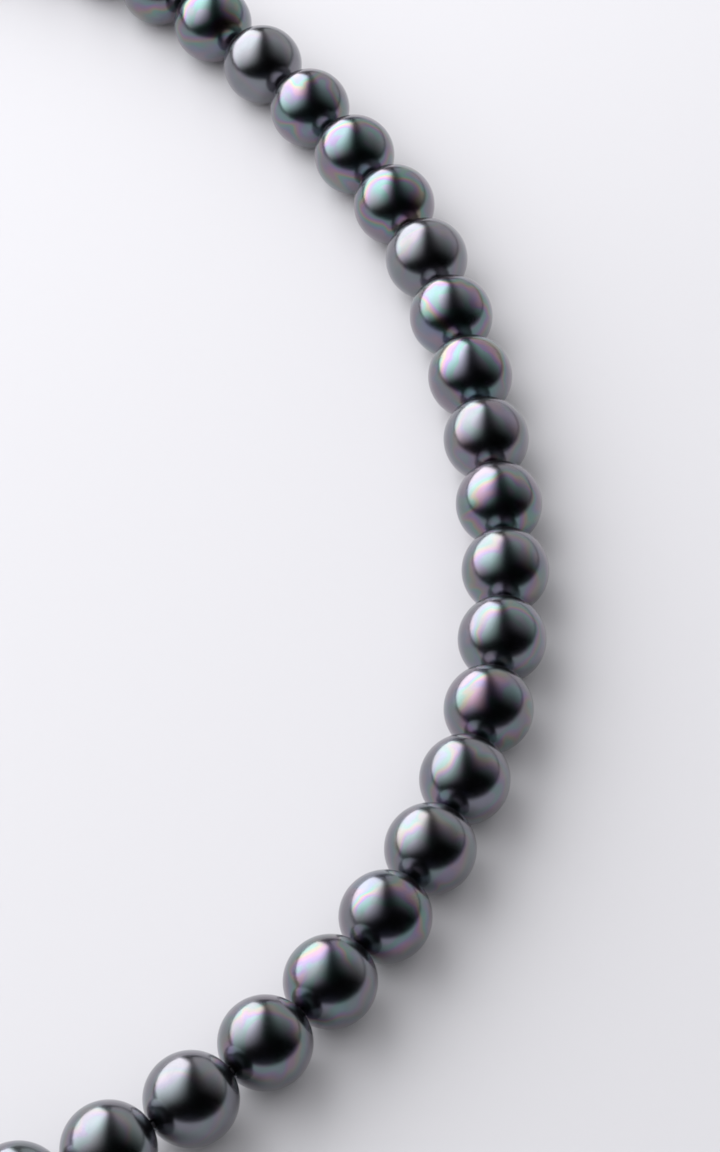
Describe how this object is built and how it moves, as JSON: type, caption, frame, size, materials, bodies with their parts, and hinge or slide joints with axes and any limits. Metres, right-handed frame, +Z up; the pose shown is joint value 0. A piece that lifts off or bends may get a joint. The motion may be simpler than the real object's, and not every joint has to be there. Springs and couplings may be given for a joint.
{
  "type": "pearl necklace",
  "caption": "Single strand of uniform round dark iridescent pearls on a thread, laid open in an oval, with bead tips, a jump ring, a lobster clasp and a catch ring.",
  "frame": {"origin": "on the table, under the middle of the laid strand's outline", "axes": "+Z up from the table, +Y along the longer way of the oval, +X towards the front pearl, opposite the clasp"},
  "size_m": [0.1268, 0.1718, 0.008],
  "materials": {
    "pearl": "gloss",
    "thread": "satin",
    "plated_metal": "polished",
    "spring_steel": "satin"
  },
  "bodies": {
    "pearl_01": {"pearl_01": "pearl"},
    "pearl_02": {"pearl_02": "pearl"},
    "pearl_03": {"pearl_03": "pearl"},
    "pearl_04": {"pearl_04": "pearl"},
    "pearl_05": {"pearl_05": "pearl"},
    "pearl_06": {"pearl_06": "pearl"},
    "pearl_07": {"pearl_07": "pearl"},
    "pearl_08": {"pearl_08": "pearl"},
    "pearl_09": {"pearl_09": "pearl"},
    "pearl_10": {"pearl_10": "pearl"},
    "pearl_11": {"pearl_11": "pearl"},
    "pearl_12": {"pearl_12": "pearl"},
    "pearl_13": {"pearl_13": "pearl"},
    "pearl_14": {"pearl_14": "pearl"},
    "pearl_15": {"pearl_15": "pearl"},
    "pearl_16": {"pearl_16": "pearl"},
    "pearl_17": {"pearl_17": "pearl"},
    "pearl_18": {"pearl_18": "pearl"},
    "pearl_19": {"pearl_19": "pearl"},
    "pearl_20": {"pearl_20": "pearl"},
    "pearl_21": {"pearl_21": "pearl"},
    "pearl_22": {"pearl_22": "pearl"},
    "pearl_23": {"pearl_23": "pearl"},
    "pearl_24": {"pearl_24": "pearl"},
    "pearl_25": {"pearl_25": "pearl"},
    "pearl_26": {"pearl_26": "pearl", "thread": "thread"},
    "pearl_27": {"pearl_27": "pearl"},
    "pearl_28": {"pearl_28": "pearl"},
    "pearl_29": {"pearl_29": "pearl"},
    "pearl_30": {"pearl_30": "pearl"},
    "pearl_31": {"pearl_31": "pearl"},
    "pearl_32": {"pearl_32": "pearl"},
    "pearl_33": {"pearl_33": "pearl"},
    "pearl_34": {"pearl_34": "pearl"},
    "pearl_35": {"pearl_35": "pearl"},
    "pearl_36": {"pearl_36": "pearl"},
    "pearl_37": {"pearl_37": "pearl"},
    "pearl_38": {"pearl_38": "pearl"},
    "pearl_39": {"pearl_39": "pearl"},
    "pearl_40": {"pearl_40": "pearl"},
    "pearl_41": {"pearl_41": "pearl"},
    "pearl_42": {"pearl_42": "pearl"},
    "pearl_43": {"pearl_43": "pearl"},
    "pearl_44": {"pearl_44": "pearl"},
    "pearl_45": {"pearl_45": "pearl"},
    "pearl_46": {"pearl_46": "pearl"},
    "pearl_47": {"pearl_47": "pearl"},
    "pearl_48": {"pearl_48": "pearl"},
    "pearl_49": {"pearl_49": "pearl"},
    "pearl_50": {"pearl_50": "pearl"},
    "pearl_51": {"pearl_51": "pearl"},
    "bead_tip_clasp_end": {"bead_tip_clasp_end": "plated_metal"},
    "jump_ring": {"jump_ring": "plated_metal"},
    "clasp_lever": {"clasp_lever": "plated_metal"},
    "bead_tip_ring_end": {"bead_tip_ring_end": "plated_metal"},
    "catch_ring": {"catch_ring": "plated_metal"},
    "lobster_clasp_body": {"lobster_clasp_body": "plated_metal", "clasp_rivet": "plated_metal", "clasp_spring": "spring_steel"}
  },
  "joints": [
    {"name": "clasp_end_tip_swing", "type": "hinge", "parent": "pearl_01", "child": "bead_tip_clasp_end", "pos_m": [-0.05918, -0.01571, 0.004], "axis": [0, 0, 1], "range_deg": [-20, 20], "deforming": ["thread"]},
    {"name": "jump_ring_swing", "type": "hinge", "parent": "bead_tip_clasp_end", "child": "jump_ring", "pos_m": [-0.05868, -0.00994, 0.00234], "axis": [0, 0, 1], "range_deg": [-25, 25]},
    {"name": "clasp_swing", "type": "hinge", "parent": "jump_ring", "child": "lobster_clasp_body", "pos_m": [-0.05834, -0.00597, 0.00199], "axis": [0, 0, 1], "range_deg": [-20, 20]},
    {"name": "clasp_lever_pivot", "type": "hinge", "parent": "lobster_clasp_body", "child": "clasp_lever", "pos_m": [-0.05725, -0.00137, 0.00147], "axis": [0.0094, 0.1093, 0.994], "range_deg": [0, 24], "stiffness_Nm_per_rad": 0.002, "springref_deg": -14.32, "deforming": ["clasp_spring"]},
    {"name": "ring_end_tip_swing", "type": "hinge", "parent": "pearl_51", "child": "bead_tip_ring_end", "pos_m": [-0.06006, 0.02019, 0.004], "axis": [0, 0, -1], "range_deg": [-20, 20], "deforming": ["thread"]},
    {"name": "catch_ring_swing", "type": "hinge", "parent": "bead_tip_ring_end", "child": "catch_ring", "pos_m": [-0.05961, 0.01471, 0.00178], "axis": [0, 0, -1], "range_deg": [-20, 20]},
    {"name": "strand_01_02", "type": "hinge", "parent": "pearl_02", "child": "pearl_01", "pos_m": [-0.05761, -0.02368, 0.004], "axis": [0, 0, 1], "range_deg": [0, 9.3], "deforming": ["thread"]},
    {"name": "strand_02_03", "type": "hinge", "parent": "pearl_03", "child": "pearl_02", "pos_m": [-0.05565, -0.03156, 0.004], "axis": [0, 0, 1], "range_deg": [0, 9.3], "deforming": ["thread"]},
    {"name": "strand_03_04", "type": "hinge", "parent": "pearl_04", "child": "pearl_03", "pos_m": [-0.05329, -0.03933, 0.004], "axis": [0, 0, 1], "range_deg": [0, 9.3], "deforming": ["thread"]},
    {"name": "strand_04_05", "type": "hinge", "parent": "pearl_05", "child": "pearl_04", "pos_m": [-0.05054, -0.04697, 0.004], "axis": [0, 0, 1], "range_deg": [0, 12.8], "deforming": ["thread"]},
    {"name": "strand_05_06", "type": "hinge", "parent": "pearl_06", "child": "pearl_05", "pos_m": [-0.04695, -0.05425, 0.004], "axis": [0, 0, 1], "range_deg": [0, 12.8], "deforming": ["thread"]},
    {"name": "strand_06_07", "type": "hinge", "parent": "pearl_07", "child": "pearl_06", "pos_m": [-0.04258, -0.0611, 0.004], "axis": [0, 0, 1], "range_deg": [0, 12.8], "deforming": ["thread"]},
    {"name": "strand_07_08", "type": "hinge", "parent": "pearl_08", "child": "pearl_07", "pos_m": [-0.03747, -0.06741, 0.004], "axis": [0, 0, 1], "range_deg": [0, 16.1], "deforming": ["thread"]},
    {"name": "strand_08_09", "type": "hinge", "parent": "pearl_09", "child": "pearl_08", "pos_m": [-0.03137, -0.07276, 0.004], "axis": [0, 0, 1], "range_deg": [0, 16.1], "deforming": ["thread"]},
    {"name": "strand_09_10", "type": "hinge", "parent": "pearl_10", "child": "pearl_09", "pos_m": [-0.02445, -0.07702, 0.004], "axis": [0, 0, 1], "range_deg": [0, 16.1], "deforming": ["thread"]},
    {"name": "strand_10_11", "type": "hinge", "parent": "pearl_11", "child": "pearl_10", "pos_m": [-0.01692, -0.08005, 0.004], "axis": [0, 0, 1], "range_deg": [0, 16.1], "deforming": ["thread"]},
    {"name": "strand_11_12", "type": "hinge", "parent": "pearl_12", "child": "pearl_11", "pos_m": [-0.00898, -0.08176, 0.004], "axis": [0, 0, 1], "range_deg": [0, 16.1], "deforming": ["thread"]},
    {"name": "strand_12_13", "type": "hinge", "parent": "pearl_13", "child": "pearl_12", "pos_m": [-0.00087, -0.08212, 0.004], "axis": [0, 0, 1], "range_deg": [0, 16.1], "deforming": ["thread"]},
    {"name": "strand_13_14", "type": "hinge", "parent": "pearl_14", "child": "pearl_13", "pos_m": [0.00719, -0.0811, 0.004], "axis": [0, 0, 1], "range_deg": [0, 15], "deforming": ["thread"]},
    {"name": "strand_14_15", "type": "hinge", "parent": "pearl_15", "child": "pearl_14", "pos_m": [0.015, -0.07889, 0.004], "axis": [0, 0, 1], "range_deg": [0, 15], "deforming": ["thread"]},
    {"name": "strand_15_16", "type": "hinge", "parent": "pearl_16", "child": "pearl_15", "pos_m": [0.02239, -0.07554, 0.004], "axis": [0, 0, 1], "range_deg": [0, 15], "deforming": ["thread"]},
    {"name": "strand_16_17", "type": "hinge", "parent": "pearl_17", "child": "pearl_16", "pos_m": [0.0292, -0.07111, 0.004], "axis": [0, 0, 1], "range_deg": [0, 12.7], "deforming": ["thread"]},
    {"name": "strand_17_18", "type": "hinge", "parent": "pearl_18", "child": "pearl_17", "pos_m": [0.03549, -0.06597, 0.004], "axis": [0, 0, 1], "range_deg": [0, 12.7], "deforming": ["thread"]},
    {"name": "strand_18_19", "type": "hinge", "parent": "pearl_19", "child": "pearl_18", "pos_m": [0.04117, -0.06017, 0.004], "axis": [0, 0, 1], "range_deg": [0, 12.7], "deforming": ["thread"]},
    {"name": "strand_19_20", "type": "hinge", "parent": "pearl_20", "child": "pearl_19", "pos_m": [0.04618, -0.05378, 0.004], "axis": [0, 0, 1], "range_deg": [0, 12.7], "deforming": ["thread"]},
    {"name": "strand_20_21", "type": "hinge", "parent": "pearl_21", "child": "pearl_20", "pos_m": [0.05046, -0.04688, 0.004], "axis": [0, 0, 1], "range_deg": [0, 12.7], "deforming": ["thread"]},
    {"name": "strand_21_22", "type": "hinge", "parent": "pearl_22", "child": "pearl_21", "pos_m": [0.05395, -0.03955, 0.004], "axis": [0, 0, 1], "range_deg": [0, 12.7], "deforming": ["thread"]},
    {"name": "strand_22_23", "type": "hinge", "parent": "pearl_23", "child": "pearl_22", "pos_m": [0.05662, -0.03188, 0.004], "axis": [0, 0, 1], "range_deg": [0, 12.7], "deforming": ["thread"]},
    {"name": "strand_23_24", "type": "hinge", "parent": "pearl_24", "child": "pearl_23", "pos_m": [0.05844, -0.02397, 0.004], "axis": [0, 0, 1], "range_deg": [0, 12.7], "deforming": ["thread"]},
    {"name": "strand_24_25", "type": "hinge", "parent": "pearl_25", "child": "pearl_24", "pos_m": [0.05937, -0.0159, 0.004], "axis": [0, 0, 1], "range_deg": [0, 12.7], "deforming": ["thread"]},
    {"name": "strand_25_26", "type": "hinge", "parent": "pearl_26", "child": "pearl_25", "pos_m": [0.05941, -0.00778, 0.004], "axis": [0, 0, 1], "range_deg": [0, 12.7], "deforming": ["thread"]},
    {"name": "strand_26_27", "type": "hinge", "parent": "pearl_26", "child": "pearl_27", "pos_m": [0.05856, 0.0003, 0.004], "axis": [0, 0, -1], "range_deg": [0, 8.8], "deforming": ["thread"]},
    {"name": "strand_27_28", "type": "hinge", "parent": "pearl_27", "child": "pearl_28", "pos_m": [0.05738, 0.00833, 0.004], "axis": [0, 0, -1], "range_deg": [0, 8.8], "deforming": ["thread"]},
    {"name": "strand_28_29", "type": "hinge", "parent": "pearl_28", "child": "pearl_29", "pos_m": [0.05586, 0.01631, 0.004], "axis": [0, 0, -1], "range_deg": [0, 8.8], "deforming": ["thread"]},
    {"name": "strand_29_30", "type": "hinge", "parent": "pearl_29", "child": "pearl_30", "pos_m": [0.054, 0.02421, 0.004], "axis": [0, 0, -1], "range_deg": [0, 12.7], "deforming": ["thread"]},
    {"name": "strand_30_31", "type": "hinge", "parent": "pearl_30", "child": "pearl_31", "pos_m": [0.05129, 0.03187, 0.004], "axis": [0, 0, -1], "range_deg": [0, 12.7], "deforming": ["thread"]},
    {"name": "strand_31_32", "type": "hinge", "parent": "pearl_31", "child": "pearl_32", "pos_m": [0.04776, 0.03918, 0.004], "axis": [0, 0, -1], "range_deg": [0, 12.7], "deforming": ["thread"]},
    {"name": "strand_32_33", "type": "hinge", "parent": "pearl_32", "child": "pearl_33", "pos_m": [0.04344, 0.04605, 0.004], "axis": [0, 0, -1], "range_deg": [0, 9.6], "deforming": ["thread"]},
    {"name": "strand_33_34", "type": "hinge", "parent": "pearl_33", "child": "pearl_34", "pos_m": [0.03875, 0.05268, 0.004], "axis": [0, 0, -1], "range_deg": [0, 9.6], "deforming": ["thread"]},
    {"name": "strand_34_35", "type": "hinge", "parent": "pearl_34", "child": "pearl_35", "pos_m": [0.0337, 0.05904, 0.004], "axis": [0, 0, -1], "range_deg": [0, 9.6], "deforming": ["thread"]},
    {"name": "strand_35_36", "type": "hinge", "parent": "pearl_35", "child": "pearl_36", "pos_m": [0.02829, 0.0651, 0.004], "axis": [0, 0, -1], "range_deg": [0, 12.6], "deforming": ["thread"]},
    {"name": "strand_36_37", "type": "hinge", "parent": "pearl_36", "child": "pearl_37", "pos_m": [0.02227, 0.07054, 0.004], "axis": [0, 0, -1], "range_deg": [0, 12.6], "deforming": ["thread"]},
    {"name": "strand_37_38", "type": "hinge", "parent": "pearl_37", "child": "pearl_38", "pos_m": [0.01569, 0.0753, 0.004], "axis": [0, 0, -1], "range_deg": [0, 15.7], "deforming": ["thread"]},
    {"name": "strand_38_39", "type": "hinge", "parent": "pearl_38", "child": "pearl_39", "pos_m": [0.00843, 0.07894, 0.004], "axis": [0, 0, -1], "range_deg": [0, 15.7], "deforming": ["thread"]},
    {"name": "strand_39_40", "type": "hinge", "parent": "pearl_39", "child": "pearl_40", "pos_m": [0.00068, 0.08135, 0.004], "axis": [0, 0, -1], "range_deg": [0, 17.3], "deforming": ["thread"]},
    {"name": "strand_40_41", "type": "hinge", "parent": "pearl_40", "child": "pearl_41", "pos_m": [-0.00739, 0.08226, 0.004], "axis": [0, 0, -1], "range_deg": [0, 17.3], "deforming": ["thread"]},
    {"name": "strand_41_42", "type": "hinge", "parent": "pearl_41", "child": "pearl_42", "pos_m": [-0.01549, 0.08162, 0.004], "axis": [0, 0, -1], "range_deg": [0, 17.3], "deforming": ["thread"]},
    {"name": "strand_42_43", "type": "hinge", "parent": "pearl_42", "child": "pearl_43", "pos_m": [-0.02331, 0.07947, 0.004], "axis": [0, 0, -1], "range_deg": [0, 17.3], "deforming": ["thread"]},
    {"name": "strand_43_44", "type": "hinge", "parent": "pearl_43", "child": "pearl_44", "pos_m": [-0.03059, 0.07587, 0.004], "axis": [0, 0, -1], "range_deg": [0, 17.3], "deforming": ["thread"]},
    {"name": "strand_44_45", "type": "hinge", "parent": "pearl_44", "child": "pearl_45", "pos_m": [-0.03706, 0.07096, 0.004], "axis": [0, 0, -1], "range_deg": [0, 15], "deforming": ["thread"]},
    {"name": "strand_45_46", "type": "hinge", "parent": "pearl_45", "child": "pearl_46", "pos_m": [-0.04272, 0.06514, 0.004], "axis": [0, 0, -1], "range_deg": [0, 15], "deforming": ["thread"]},
    {"name": "strand_46_47", "type": "hinge", "parent": "pearl_46", "child": "pearl_47", "pos_m": [-0.04745, 0.05854, 0.004], "axis": [0, 0, -1], "range_deg": [0, 15], "deforming": ["thread"]},
    {"name": "strand_47_48", "type": "hinge", "parent": "pearl_47", "child": "pearl_48", "pos_m": [-0.05114, 0.0513, 0.004], "axis": [0, 0, -1], "range_deg": [0, 10.8], "deforming": ["thread"]},
    {"name": "strand_48_49", "type": "hinge", "parent": "pearl_48", "child": "pearl_49", "pos_m": [-0.05426, 0.0438, 0.004], "axis": [0, 0, -1], "range_deg": [0, 10.8], "deforming": ["thread"]},
    {"name": "strand_49_50", "type": "hinge", "parent": "pearl_49", "child": "pearl_50", "pos_m": [-0.05679, 0.03609, 0.004], "axis": [0, 0, -1], "range_deg": [0, 10.8], "deforming": ["thread"]},
    {"name": "strand_50_51", "type": "hinge", "parent": "pearl_50", "child": "pearl_51", "pos_m": [-0.05873, 0.0282, 0.004], "axis": [0, 0, -1], "range_deg": [0, 10.8], "deforming": ["thread"]}
  ]
}
